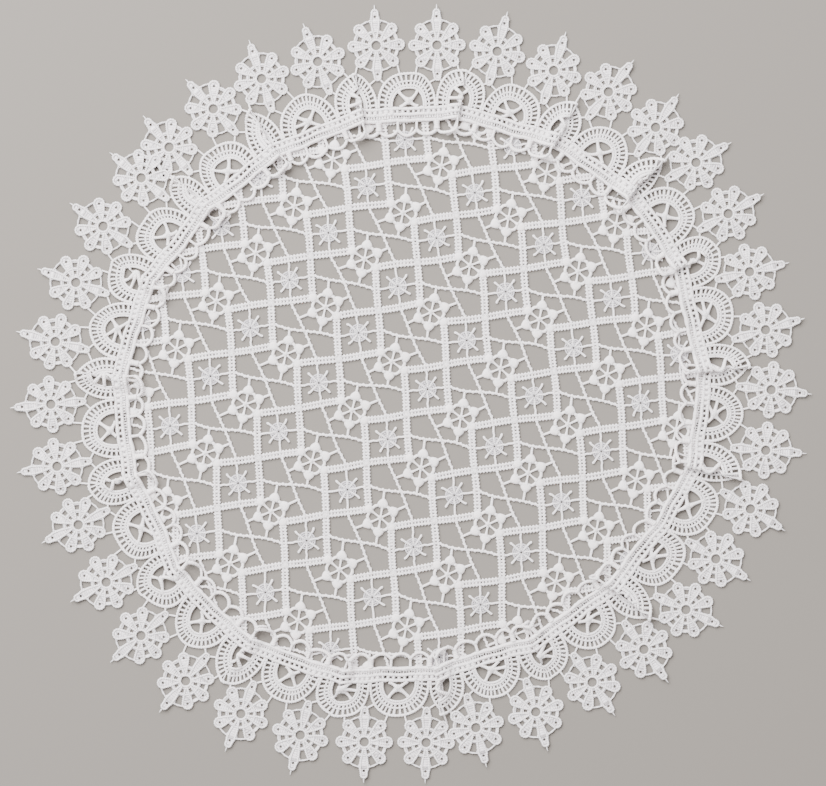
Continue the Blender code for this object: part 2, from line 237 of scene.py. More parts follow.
def setOutTree():  # lays a motif on each point, turned and sized by the point's own values
    sockets = (("Motif", "NodeSocketObject"), ("Material", "NodeSocketMaterial"))
    tree, entry, result = newTree("setOut", sockets)
    links = tree.links
    motif = tree.nodes.new("GeometryNodeObjectInfo")
    turn = addNode(tree, "GeometryNodeInputNamedAttribute", {"Name": "turn"}, data_type="FLOAT")
    size = addNode(tree, "GeometryNodeInputNamedAttribute", {"Name": "size"}, data_type="FLOAT")
    euler = tree.nodes.new("ShaderNodeCombineXYZ")
    rotation = tree.nodes.new("FunctionNodeEulerToRotation")
    lay = tree.nodes.new("GeometryNodeInstanceOnPoints")
    links.new(entry.outputs["Motif"], motif.inputs["Object"])
    links.new(turn.outputs["Attribute"], euler.inputs["Z"])
    links.new(euler.outputs["Vector"], rotation.inputs["Euler"])
    links.new(entry.outputs["Geometry"], lay.inputs["Points"])
    links.new(motif.outputs["Geometry"], lay.inputs["Instance"])
    links.new(rotation.outputs["Rotation"], lay.inputs["Rotation"])
    links.new(size.outputs["Attribute"], lay.inputs["Scale"])
    finishTree(tree, entry, result, lay.outputs["Instances"])
    return tree


sewnThread = threadTree()
setOut = setOutTree()


def applyTree(piece, tree, values):
    modifier = piece.modifiers.new("shape", "NODES")
    modifier.node_group = tree
    for item in tree.interface.items_tree:
        if item.item_type == "SOCKET" and item.in_out == "INPUT" and item.name in values:
            modifier[item.identifier] = values[item.name]
    depsgraph = bpy.context.evaluated_depsgraph_get()
    made = bpy.data.meshes.new_from_object(
        piece.evaluated_get(depsgraph), preserve_all_data_layers=True, depsgraph=depsgraph
    )
    piece.modifiers.remove(modifier)
    piece.data = made
    made.name = piece.name
    return piece


def newPiece(name, mesh):
    piece = bpy.data.objects.new(name, mesh)
    bpy.context.scene.collection.objects.link(piece)
    return piece


def sewThreads(name, threads, sides, height, material):  # threads are rows of path, half width, closed or not
    points = []
    widths = []
    edges = []
    first = 0
    for path, halfWidth, closed in threads:
        path = np.asarray(path, float)
        if path.shape[1] == 2:
            path = np.column_stack((path, np.zeros(len(path))))
        count = len(path)
        index = np.arange(first, first + count)
        points.append(path)
        widths.append(np.broadcast_to(halfWidth, count))
        edges.append(np.column_stack((index[:-1], index[1:])))
        if closed:
            edges.append(np.array([[index[-1], index[0]]]))
        first += count
    points = np.concatenate(points)
    edges = np.concatenate(edges)
    mesh = bpy.data.meshes.new(name)
    mesh.vertices.add(len(points))
    mesh.vertices.foreach_set("co", points.ravel())
    mesh.edges.add(len(edges))
    mesh.edges.foreach_set("vertices", edges.ravel())
    mesh.attributes.new("halfWidth", "FLOAT", "POINT").data.foreach_set("value", np.concatenate(widths))
    mesh.update()
    piece = newPiece(name, mesh)
    return applyTree(piece, sewnThread, {"Sides": sides, "Height": height, "Material": material})


def layMotifs(name, motif, places, turns, sizes, material):
    mesh = bpy.data.meshes.new(name)
    places = np.asarray(places, float)
    if places.shape[1] == 2:
        places = np.column_stack((places, np.zeros(len(places))))
    mesh.vertices.add(len(places))
    mesh.vertices.foreach_set("co", places.ravel())
    mesh.attributes.new("turn", "FLOAT", "POINT").data.foreach_set("value", np.broadcast_to(turns, len(places)).astype(float))
    mesh.attributes.new("size", "FLOAT", "POINT").data.foreach_set("value", np.broadcast_to(sizes, len(places)).astype(float))
    piece = newPiece(name, mesh)
    applyTree(piece, setOut, {"Motif": motif, "Material": material})
    bpy.data.objects.remove(motif)
    return piece


def joinPieces(name, pieces):
    with bpy.context.temp_override(active_object=pieces[0], selected_editable_objects=pieces, object=pieces[0]):
        bpy.ops.object.join()
    pieces[0].name = name
    pieces[0].data.name = name
    return pieces[0]


def settle(piece, place, turnOver=False):  # moves every vertex from its flat place to the table, in metres
    mesh = piece.data
    points = np.empty(len(mesh.vertices) * 3)
    mesh.vertices.foreach_get("co", points)
    settled = place(points.reshape(-1, 3)) * mm
    settled[:, 2] = np.maximum(settled[:, 2], 0)  # threads lie flat on the table
    mesh.vertices.foreach_set("co", settled.ravel())
    if turnOver:
        mesh.flip_normals()
    mesh.update()
    return piece


def faceCount(piece):
    return sum(len(polygon.vertices) - 2 for polygon in piece.data.polygons)


# The ground: crosses of double bars, cords, star wheels and flowers

groundLattice = {
    "firstCross": (-31.2, 93.0),
    "barAcross": (21.22, 3.01),
    "barDown": (1.44, -21.52),
    "repeatAcross": (2.5, 0.5),
    "repeatDown": (-1.0, 1.0),
    "cutReach": 2.2,  # the ground is cut off under the edging's heading
    "drawnAcross": (0.58, 0.18, -1.34, 0.09, -0.49, -0.39),  # how the cloth is drawn out of true
    "drawnDown": (1.15, 0.24, -2.82, 0.04, -0.23, -0.12),
    "ripple": 0.28,
}


def groundPlace(points):  # lattice rows to millimetres on the table
    points = np.asarray(points, float)
    across = np.array(groundLattice["barAcross"])
    down = np.array(groundLattice["barDown"])
    flat = np.array(groundLattice["firstCross"]) + points[:, :1] * across + points[:, 1:2] * down
    x = flat[:, 0] / 100
    y = flat[:, 1] / 100
    terms = np.column_stack((np.ones(len(x)), y, y * y, x, x * y, x * x))
    shift = np.column_stack((terms @ groundLattice["drawnAcross"], terms @ groundLattice["drawnDown"]))
    ripple = groundLattice["ripple"]
    shift[:, 0] += ripple * (np.sin(21 * x + 9 * y) + np.sin(13 * y - 17 * x + 1.3))
    shift[:, 1] += ripple * (np.sin(19 * y - 7 * x + 0.6) + np.sin(15 * x + 11 * y + 2.1))
    return flat + shift + middle


def crossPlaces():
    across = np.array(groundLattice["repeatAcross"])
    down = np.array(groundLattice["repeatDown"])
    crosses = np.array([i * across + j * down for i in range(-9, 10) for j in range(-14, 15)])
    table = groundPlace(crosses)
    return crosses[reachOf(table[:, 0], table[:, 1]) < 48]


crosses = crossPlaces()
chance = np.random.default_rng(11)  # how unevenly the rungs and loops are sewn


def finely(path, step):  # more points on a path, each at most a step from the last
    path = np.asarray(path, float)
    rows = [path[:1]]
    for start, end in zip(path[:-1], path[1:]):
        count = max(1, math.ceil(np.linalg.norm(end - start) / step))
        rows.append(start + (end - start) * (np.arange(1, count + 1) / count)[:, None])
    return np.vstack(rows)


def rounded(path, times=2):  # cuts the corners of an open path
    path = np.asarray(path, float)
    for _ in range(times):
        nearStart = path[:-1] * 0.75 + path[1:] * 0.25
        nearEnd = path[:-1] * 0.25 + path[1:] * 0.75
        path = np.vstack((path[:1], np.stack((nearStart, nearEnd), 1).reshape(-1, path.shape[1])[1:-1], path[-1:]))
    return path


def sideways(path):  # unit vectors to the left of a path
    ahead = np.gradient(path, axis=0)
    ahead /= np.linalg.norm(ahead, axis=1)[:, None]
    return np.column_stack((-ahead[:, 1], ahead[:, 0]))


def cutToGround(threads):  # leaves off what would lie beyond the cut edge
    kept = []
    for path, halfWidth, closed in threads:
        inside = reachOf(path[:, 0], path[:, 1]) < groundLattice["cutReach"]
        if inside.all():
            kept.append((path, halfWidth, closed))
            continue
        widths = np.broadcast_to(halfWidth, len(path))
        if closed:
            path = np.vstack((path, path[:1]))
            widths = np.append(widths, widths[0])
            inside = np.append(inside, inside[0])
        bounds = np.flatnonzero(np.diff(np.concatenate(([0], inside.astype(int), [0]))))
        for start, end in zip(bounds[::2], bounds[1::2]):
            if end - start > 1:
                kept.append((path[start:end], widths[start:end], False))
    return kept


barSizes = {
    "railOut": 0.98,  # middle of each rail from the bar's middle
    "railHalf": 0.68,
    "toothPitch": 1.7,
    "toothOut": 0.42,
    "toothSwell": 0.34,
    "rungHalf": (0.55, 0.95),
    "endShort": 1.6,  # mm of each bar left off at its far end, under the knob
}


def barThreads(start, end):
    path = groundPlace(start + (end - start) * np.linspace(0, 1, 12)[:, None])
    lengths = np.concatenate(([0], np.cumsum(np.linalg.norm(np.diff(path, axis=0), axis=1))))
    teeth = max(2, round((lengths[-1] - barSizes["endShort"]) / barSizes["toothPitch"]))
    at = np.linspace(0.4, lengths[-1] - barSizes["endShort"], 2 * teeth + 1)
    path = np.column_stack((np.interp(at, lengths, path[:, 0]), np.interp(at, lengths, path[:, 1])))
    left = sideways(path)
    tooth = (np.arange(len(at)) % 2)[:, None]
    threads = []
    for side in (-1, 1):
        out = side * (barSizes["railOut"] + barSizes["toothOut"] * (tooth - 0.3))
        width = barSizes["railHalf"] + barSizes["toothSwell"] * (tooth[:, 0] - 0.5)
        threads.append((path + left * out, width, False))
    rungs = []
    for k in range(1, len(at), 2):
        rungs.append((np.array((path[k] - left[k] * 0.8, path[k] + left[k] * 0.8)), chance.uniform(*barSizes["rungHalf"]), False))
    return threads, rungs


cordSizes = {
    "half": 0.72,
    "toothPitch": 1.6,
    "toothOut": 0.2,
    "toothSwell": 0.4,
    "tailHalf": 0.6,
    "paths": (  # lattice places from a cross, two cords for each
        ((0.5, 0.05), (0.62, 0.36), (0.75, 0.75), (0.87, 1.12), (1.0, 1.45)),
        ((0.05, 0.5), (0.36, 0.65), (0.75, 0.74), (1.13, 0.83), (1.45, 0.98)),
    ),
    "tails": (
        ((0.93, 0.336), (0.65, 0.41)),
        ((0.57, 1.164), (0.85, 1.09)),
        ((0.338, 0.93), (0.39, 0.66)),
        ((1.162, 0.57), (1.1, 0.82)),
    ),
}


def toothedCord(path, half):
    lengths = np.concatenate(([0], np.cumsum(np.linalg.norm(np.diff(path, axis=0), axis=1))))
    count = max(2, round(lengths[-1] / cordSizes["toothPitch"]))
    at = np.linspace(0, lengths[-1], 2 * count + 1)
    path = np.column_stack((np.interp(at, lengths, path[:, 0]), np.interp(at, lengths, path[:, 1])))
    swing = np.sin(np.arange(len(at)) * math.pi / 2) * cordSizes["toothOut"]
    width = half + cordSizes["toothSwell"] * ((np.arange(len(at)) % 2) - 0.5)
    return path + sideways(path) * swing[:, None], width, False


rails = []
rungs = []
cords = []
for cross in crosses:
    for arm in ((1, 0), (-1, 0), (0, 1), (0, -1)):
        sides, steps = barThreads(cross, cross + np.array(arm, float))
        rails += sides
        rungs += steps
    for row in cordSizes["paths"]:
        cords.append(toothedCord(finely(groundPlace(rounded(cross + np.array(row))), 1.0), cordSizes["half"]))
    for row in cordSizes["tails"]:
        path = finely(groundPlace(cross + np.array(row)), 1.2)
        cords.append((path, np.linspace(0.75, cordSizes["tailHalf"], len(path)), False))
rails = cutToGround(rails)
rungs = cutToGround(rungs)
cords = cutToGround(cords)

knobSizes = {
    "rows": ((-2.3, 1.9), (-1.5, 2.6), (-0.5, 2.8), (0.6, 2.4), (1.6, 1.6), (2.4, 0.7)),  # out from its middle, half width
    "out": 7.3,  # from the flower's middle
    "height": 0.95,
    "corner": 2.4,
}


def domeMotif(name, outline, height):  # closed pillow over a flat outline
    outline = np.asarray(outline, float)
    centre = outline.mean(0)
    build = bmesh.new()
    loops = []
    for share, up in ((0.35, 1.0), (0.66, 0.84), (0.9, 0.5), (1.0, 0.0), (0.9, -0.45), (0.55, -0.6)):
        ring = centre + (outline - centre) * share
        loops.append([build.verts.new((x, y, up * height)) for x, y in ring])
    count = len(outline)
    for above, below in zip(loops[:-1], loops[1:]):
        for k in range(count):
            build.faces.new((above[k], below[k], below[(k + 1) % count], above[(k + 1) % count]))
    build.faces.new(loops[0])
    build.faces.new(loops[-1][::-1])
    bmesh.ops.recalc_face_normals(build, faces=build.faces)
    mesh = bpy.data.meshes.new(name)
    build.to_mesh(mesh)
    build.free()
    places = np.empty(len(mesh.vertices) * 3)
    mesh.vertices.foreach_get("co", places)
    mesh.attributes.new("along", "FLOAT", "POINT").data.foreach_set("value", places.reshape(-1, 3)[:, 1].copy())
    mesh.attributes.new("around", "FLOAT", "POINT").data.foreach_set("value", places.reshape(-1, 3)[:, 0].copy())
    return newPiece(name, mesh)


flowerSizes = {
    "ringHalf": 0.82,
    "ringOut": 6.55,
    "ringIn": 6.0,
    "spokeOut": (0.0, 0.8, 1.7, 3.4, 4.7, 5.7),
    "spokeHalf": (1.0, 0.75, 0.5, 0.52, 0.72, 1.35),
    "knobs": ((-0.25, -0.25), (0.0916, -0.342), (0.342, -0.0916), (0.25, 0.25), (-0.0916, 0.342), (-0.342, 0.0916)),
}
starSizes = {
    "wheel": (1.1, 2.2, 3.25, 4.2),
    "wheelHalf": (0.4, 0.32, 0.32, 0.4),
    "rays": 20,
    "rayHalf": 0.26,
    "freeReach": 7.5,
}

flowerThreads = []
wheelThreads = []
starSpokes = []
knobPlaces = []
knobTurns = []
cornerPlaces = []
for cross in crosses:
    heart = groundPlace([cross + (1.25, 0.25)])[0]
    knobs = groundPlace(cross + np.array((1.25, 0.25)) + np.array(flowerSizes["knobs"])) - heart
    turns = np.unwrap(np.arctan2(knobs[:, 1], knobs[:, 0]))
    round24 = np.concatenate([turns[0] - np.arange(24) * math.pi / 12])
    nearest = np.abs((round24[:, None] - turns[None, :] + math.pi) % (2 * math.pi) - math.pi).min(1)
    ring = flowerSizes["ringIn"] + (flowerSizes["ringOut"] - flowerSizes["ringIn"]) * np.minimum(nearest / 0.5, 1)
    flowerThreads.append((heart + np.column_stack((np.cos(round24), np.sin(round24))) * ring[:, None], flowerSizes["ringHalf"], True))
    for turn, knob in zip(turns, knobs):
        direction = np.array((math.cos(turn), math.sin(turn)))
        spoke = heart + direction * np.array(flowerSizes["spokeOut"])[:, None]
        flowerThreads.append((spoke, np.array(flowerSizes["spokeHalf"]), False))
    for index, (turn, knob) in enumerate(zip(turns, knobs)):
        if index in (0, 3):
            cornerPlaces.append(heart + knob)
        else:
            knobPlaces.append(heart + np.array((math.cos(turn), math.sin(turn))) * knobSizes["out"])
            knobTurns.append(turn - math.pi / 2)
    hub = groundPlace([cross + (0.5, -0.5)])[0]
    ends = groundPlace(cross + np.array(((1, -0.5), (0.5, -1), (0, -0.5), (0.5, 0)))) - hub
    start = math.atan2(ends[0][1], ends[0][0])
    for radius, half in zip(starSizes["wheel"], starSizes["wheelHalf"]):
        count = 10 if radius < 2 else 20
        way = start + np.arange(count) * 2 * math.pi / count
        wheelThreads.append((hub + np.column_stack((np.cos(way), np.sin(way))) * radius, half, True))
    for k in range(starSizes["rays"]):
        way = start + k * 2 * math.pi / starSizes["rays"]
        direction = np.array((math.cos(way), math.sin(way)))
        wheelThreads.append((hub + direction * np.array(((0.5,), (2.4,), (4.3,))), starSizes["rayHalf"], False))
    for end in ends:
        reach = np.linalg.norm(end)
        direction = end / reach
        along = np.array((0.9, 2.5, 4.2, 5.6, 7.2, reach - 1.0))
        side = np.array((-direction[1], direction[0])) * 0.22
        bend = np.sin(along * 1.4 + hub[0])[:, None] * side
        starSpokes.append((hub + direction * along[:, None] + bend, np.array((0.35, 0.5, 0.58, 0.56, 0.56, 0.62)), False))
    for k in range(4):
        way = start + math.pi / 4 + k * math.pi / 2 + 0.06 * math.sin(hub[0] + k)
        direction = np.array((math.cos(way), math.sin(way)))
        along = np.array((0.9, 2.5, 4.4, 6.0, starSizes["freeReach"] - 0.6, starSizes["freeReach"]))
        bend = np.array((0, 0, 0, 0.1, 0.4, 0.7))[:, None] * (-direction[1], direction[0]) * chance.uniform(-1, 1)
        starSpokes.append((hub + direction * along[:, None] + bend, np.array((0.35, 0.5, 0.54, 0.58, 0.68, 0.42)), False))


def insideGround(places, reach):
    places = np.asarray(places)
    return reachOf(places[:, 0], places[:, 1]) < reach


halves = knobSizes["rows"]
knobOutline = [(half, out) for out, half in halves] + [(-half, out) for out, half in halves[::-1]]
way = np.arange(10) * math.pi / 5
cornerOutline = np.column_stack((np.cos(way), np.sin(way))) * knobSizes["corner"]
padOutline = np.column_stack((np.cos(way), np.sin(way))) * 2.0

flat = roundShape["groundThick"] / 2


def groundUp(points):
    points = points.copy()
    points[:, 2] += flat
    return points


bars = [
    sewThreads("bar_rails", rails, 6, 0.85, barThread),
    sewThreads("bar_rungs", rungs, 4, 0.8, barThread),
]
crossTable = groundPlace(crosses)
crossTable = crossTable[insideGround(crossTable, 1.0)]
bars.append(layMotifs("crossing_pads", domeMotif("pad", padOutline, 0.5), crossTable, 0.3, 1.0, barThread))
groundBars = settle(joinPieces("ground_bars", bars), groundUp)
groundCords = settle(sewThreads("ground_cords", cords, 6, 0.75, barThread), groundUp)
print("ground bars", faceCount(groundBars), "cords", faceCount(groundCords))

groundStars = settle(
    joinPieces(
        "ground_stars",
        [
            sewThreads("wheels", cutToGround(wheelThreads), 4, 0.9, wheelThread),
            sewThreads("star_spokes", cutToGround(starSpokes), 6, 0.85, barThread),
        ],
    ),
    groundUp,
)
print("ground stars", faceCount(groundStars))

knobPlaces = np.array(knobPlaces)
knobTurns = np.array(knobTurns)
keep = insideGround(knobPlaces, 0.5)
cornerPlaces = np.array(cornerPlaces)
cornerPlaces = cornerPlaces[insideGround(cornerPlaces, 0.5)]
groundFlowers = settle(
    joinPieces(
        "ground_flowers",
        [
            sewThreads("flower_rings", cutToGround(flowerThreads), 6, 0.8, satinThread),
            layMotifs("knobs", domeMotif("knob", knobOutline, knobSizes["height"]), knobPlaces[keep], knobTurns[keep], 1.0, satinThread),
            layMotifs("corners", domeMotif("corner", cornerOutline, knobSizes["height"]), cornerPlaces, 0.0, 1.0, satinThread),
        ],
    ),
    groundUp,
)
print("ground flowers", faceCount(groundFlowers))


# The edging: one strip of lace, 37 fans long, laid round the ground and taken up in a pleat at every second fan

fanColumns = (
    "flower's angle", "its distance out", "its turn", "fan's angle", "pleated", "its heading out of the round", "its stretch",
)
fanRows = (
    (0.5, 179.8, -6.6, 4.2, 1, 0.0, 1.08),
    (10.1, 179.8, 6.7, 14.8, 0, -2.2, 1.0),
    (19.7, 179.5, -6.4, 25.0, 1, 0.0, 0.98),
    (29.5, 181.9, -0.1, 34.8, 0, 0.0, 1.0),
    (39.0, 183.0, -9.1, 42.4, 1, 0.0, 1.18),
    (47.4, 180.3, 8.0, 51.8, 0, -1.8, 1.0),
    (56.8, 179.8, -5.2, 60.1, 1, 0.0, 0.99),
    (66.2, 176.1, 6.2, 70.5, 0, -2.4, 1.0),
    (75.9, 176.0, -0.3, 80.4, 1, 0.0, 1.0),
    (85.8, 174.3, 5.1, 90.8, 0, -0.7, 1.0),
    (95.8, 174.5, -3.0, 100.0, 1, 0.0, 1.01),
    (105.8, 172.1, 5.4, 110.8, 0, -0.8, 1.0),
    (115.5, 174.0, -7.3, 119.5, 1, 0.0, 1.16),
    (124.9, 173.1, 8.4, 129.5, 0, -3.2, 1.0),
    (134.6, 172.5, -5.0, 137.6, 1, 0.0, 1.02),
    (141.5, 172.6, -0.5, 147.2, 0, -3.7, 1.0),
    (151.6, 175.2, -6.5, 156.4, 1, 0.0, 0.95),
    (161.8, 176.6, -1.7, 167.8, 0, -0.2, 1.0),
    (171.8, 179.8, -6.4, 176.5, 1, 0.0, 1.07),
    (181.8, 180.3, 3.3, 186.9, 0, 0.4, 1.0),
    (191.7, 180.9, -2.5, 196.4, 1, 0.0, 1.03),
    (201.6, 179.1, 4.9, 206.7, 0, -3.5, 1.0),
    (211.8, 179.5, -3.1, 216.6, 1, 0.0, 0.95),
    (221.9, 181.6, -0.7, 227.4, 0, -0.6, 1.0),
    (231.9, 182.9, -2.0, 236.6, 1, 0.0, 1.14),
    (242.0, 181.6, 5.3, 246.8, 0, 0.1, 1.0),
    (252.0, 179.8, 3.5, 256.1, 1, 0.0, 0.95),
    (262.3, 176.0, 6.9, 267.6, 0, -0.2, 1.0),
    (272.4, 174.9, -3.6, 274.9, 1, 0.0, 0.96),
    (280.9, 170.4, 4.4, 286.1, 0, -0.4, 1.0),
    (291.3, 171.1, -4.2, 295.9, 1, 0.0, 0.88),
    (302.0, 170.5, 2.3, 307.7, 0, -0.9, 1.0),
    (312.2, 173.0, -5.9, 316.3, 1, 0.0, 1.2),
    (321.7, 174.8, 13.8, 325.8, 0, -2.3, 1.0),
    (331.4, 173.3, -3.5, 337.8, 0, -0.9, 1.0),
    (341.1, 179.1, -13.3, 345.1, 1, 0.0, 1.2),
    (350.8, 179.4, 4.7, 356.0, 0, -0.3, 1.0),
)
fanTable = np.array(fanRows)
fanCount = len(fanRows)
fanAngle = np.radians(fanTable[:, 3])
fanPleated = fanTable[:, 4] > 0

stripSizes = {
    "pitch": 28.4,  # cloth from one fan to the next
    "footHalf": 2.2,  # a pleat's feet, from its middle
    "leanReach": (-11.0, 4.0, 11.0, 21.0),
    "leanDegrees": (68.0, 68.0, 54.0, 46.0),
    "leanSide": -1.0,  # clockwise
    "heightReach": (-11.0, 4.0, 10.0, 17.0),
    "heights": (1.45, 1.45, 0.7, 0.0),
    "lay": 1.15,  # how far a laid pleat's layers lie apart
    "bend": 2.5,  # mm over which the cloth turns at a pleat
    "sway": (0.3, 0.9, 0.16),  # unevenness round the strip, of the fans' tops, and outwards
    "openHalf": 14.6,  # where an open fan that is pulled flat ends
}
pitch = stripSizes["pitch"]


outward = np.column_stack((np.cos(fanAngle), np.sin(fanAngle)))
fanFoot = outward * (ringRadius(fanAngle) + fanTable[:, 5])[:, None]  # middle of each open fan's heading


def headingCorner(k, before, after):  # the heading runs straight from each open fan to a corner at the next pleat
    if fanPleated[k]:
        angle = fanAngle[k]
    else:
        angle = fanAngle[before] + ((fanAngle[after] - fanAngle[before]) % (2 * math.pi)) / 2
    out = [np.linalg.norm(fanFoot[side]) / math.cos(angle - fanAngle[side]) for side in (before, after)]
    return np.array((math.cos(angle), math.sin(angle))) * sum(out) / 2


def headingCorners():  # for each fan, the corners of the heading on its clockwise and counter-clockwise side
    rows = []
    for k in range(fanCount):
        before = (k - 1) % fanCount
        after = (k + 1) % fanCount
        if fanPleated[k]:
            corner = headingCorner(k, before, after)
            rows.append((corner, corner))
            continue
        first = headingCorner(before, (k - 2) % fanCount, k) if fanPleated[before] else headingCorner(k, before, k)
        last = headingCorner(after, k, (k + 2) % fanCount) if fanPleated[after] else headingCorner(k, k, after)
        rows.append((first, last))
    return np.array(rows)


corners = headingCorners()
cornerAway = np.linalg.norm(corners - fanFoot[:, None, :], axis=2)  # from an open fan's middle to its corners


def onFan(k, reach, u):  # point of open fan k's flat cloth, u mm round from its middle
    side = (u > 0).astype(int)
    along = (corners[k, side] - fanFoot[k]) / cornerAway[k, side][:, None]
    return fanFoot[k] + along * np.abs(u)[:, None] + outward[k] * reach[:, None]


def smoothStep(x):
    x = np.clip(x, 0, 1)
    return x * x * (3 - 2 * x)


def stripSurface(s, v):  # middle surface of the strip, from cloth round it and reach
    k = np.clip(np.rint(s / pitch).astype(int), 0, fanCount - 1)
    u = s - k * pitch
    before = (k - 1) % fanCount
    after = (k + 1) % fanCount
    # an open fan lies flat, and is drawn a little wider where its neighbour is open too
    openSide = ~fanPleated[np.where(u > 0, after, before)]
    drawn = cornerAway[k, (u > 0).astype(int)] + v * math.tan(math.radians(6.4))
    openHalf = stripSizes["openHalf"]
    openPlace = onFan(k, v, u * np.where(openSide, drawn, openHalf) / (pitch / 2))
    # a pleated fan belongs to its two neighbours, and what is too much between them stands up in a fold
    turn = (fanAngle[after] - fanAngle[before]) % (2 * math.pi)
    corner = cornerAway[before, 1] - openHalf + v * np.tan(turn / 2)
    width = corner + cornerAway[after, 0] - openHalf + v * np.tan(turn / 2)
    taken = np.maximum(pitch - width, 0)
    cloth = (u + pitch / 2) * np.maximum(width / pitch, 1)
    foot = stripSizes["footHalf"]
    lean = np.radians(np.interp(v, stripSizes["leanReach"], stripSizes["leanDegrees"]))
    rise = 0.93 * np.sqrt(np.maximum((foot + taken / 2) ** 2 - foot ** 2, 0))
    fold = corner - stripSizes["leanSide"] * rise * np.sin(lean)
    fold = np.clip(fold, foot + 0.5, width - foot - 0.5)
    q = np.clip((cloth - (fold - foot)) / (foot + taken / 2) - 1, -1, 1)
    hump = 0.5 * (1 + np.cos(math.pi * q))
    plan = np.where(cloth < fold - foot, cloth, np.where(q < 1, fold + foot * q, cloth - taken))
    plan = plan + stripSizes["leanSide"] * rise * np.sin(lean) * hump
    up = rise * np.cos(lean) * hump
    laid = np.sin(lean) * np.minimum(rise / 4, 1)
    up = up + laid * stripSizes["lay"] * np.minimum(1, 2 * hump)
    up = up - stripSizes["leanSide"] * laid * stripSizes["lay"] * 0.5 * np.sin(math.pi * q)
    share = smoothStep(0.5 + (plan - corner) / (2 * stripSizes["bend"]))[:, None]
    ridge = np.clip(fold + taken / 2, 3, pitch - 3)
    tent = np.minimum((u + pitch / 2) / ridge, (pitch / 2 - u) / (pitch - ridge))
    far = v + np.maximum(v - 4, 0) * (fanTable[k, 6] - 1) * np.clip(tent, 0, 1)
    foldPlace = onFan(before, far, openHalf + plan) * (1 - share) + onFan(after, far, plan - width - openHalf) * share
    pleated = fanPleated[k]
    place = np.where(pleated[:, None], foldPlace, openPlace) + middle
    up = np.where(pleated, up, 0) + np.interp(v, stripSizes["heightReach"], stripSizes["heights"])
    return np.column_stack((place, up + roundShape["edgingThick"] / 2))


def stripPlace(points):  # strip rows of cloth round, reach and height to the table
    s, v, z = points.T
    turns = s * 2 * math.pi / (fanCount * pitch)
    sway = stripSizes["sway"]
    s = s + sway[0] * np.sin(23 * turns + 0.8) + sway[1] * (v / 20) * np.sin(31 * turns + 2.0)
    v = v + sway[2] * (np.sin(41 * turns + 1.0) + np.sin(67 * turns + 2.6))
    step = 0.05
    here = stripSurface(s, v)
    k = np.clip(np.rint(s / pitch), 0, fanCount - 1)
    back = np.where(s + step > (k + 0.5) * pitch, -step, step)
    across = (stripSurface(s + back, v) - here) * np.sign(back)[:, None]
    upward = stripSurface(s, v + step) - here
    normal = np.cross(upward, across)
    normal /= np.maximum(np.linalg.norm(normal, axis=1), 1e-9)[:, None]
    return here + normal * z[:, None]


headingSizes = {
    "rails": ((-2.75, 0.95), (0.35, 0.85), (3.15, 0.85)),  # reach, half width
    "steps": 11,
    "rungs": ((22, 0.29, 0.6), (11, 0.64, 1.22)),  # in each row, half width where open and where closed
    "openAt": (-4.0, 4.0),
    "openReach": 5.5,
    "railWobble": 0.14,
}
fanSizes = {
    "foot": 4.0,
    "squareness": 2.2,
    "outer": (13.75, 16.9, 0.68),  # half span, height, half width
    "mid": (10.6, 13.2, 0.46),
    "fill": (8.85, 11.05, 0.54),
    "inner": (7.8, 9.8, 0.58),
    "teeth": 0.13,
    "rays": 20,
    "rayHalf": ((0.48, 0.66), (0.46, 0.74), (0.5, 0.62)),  # at the outer, middle and inner arch
    "hub": (0.0, 6.9),
    "webEnds": ((-4.8, 12.0), (4.8, 12.0), (4.0, 3.8), (-4.0, 3.8)),
    "sideEnd": (7.2, 7.6),
    "webHalf": (1.7, 1.35, 0.88, 0.72, 0.95),
}
archSizes = {
    "each": 3,
    "top": -7.5,
    "bottom": (-10.8, -9.7),
    "half": (0.72, 0.94),
    "postHalf": 0.74,
    "junctionHalf": 1.6,
    "jitter": 0.7,
}


def archOf(size, t):  # boxy arch over the heading
    power = 2 / fanSizes["squareness"]
    x = np.sign(np.cos(t)) * np.abs(np.cos(t)) ** power
    return np.column_stack((size[0] * x, fanSizes["foot"] + size[1] * np.sin(t) ** power))


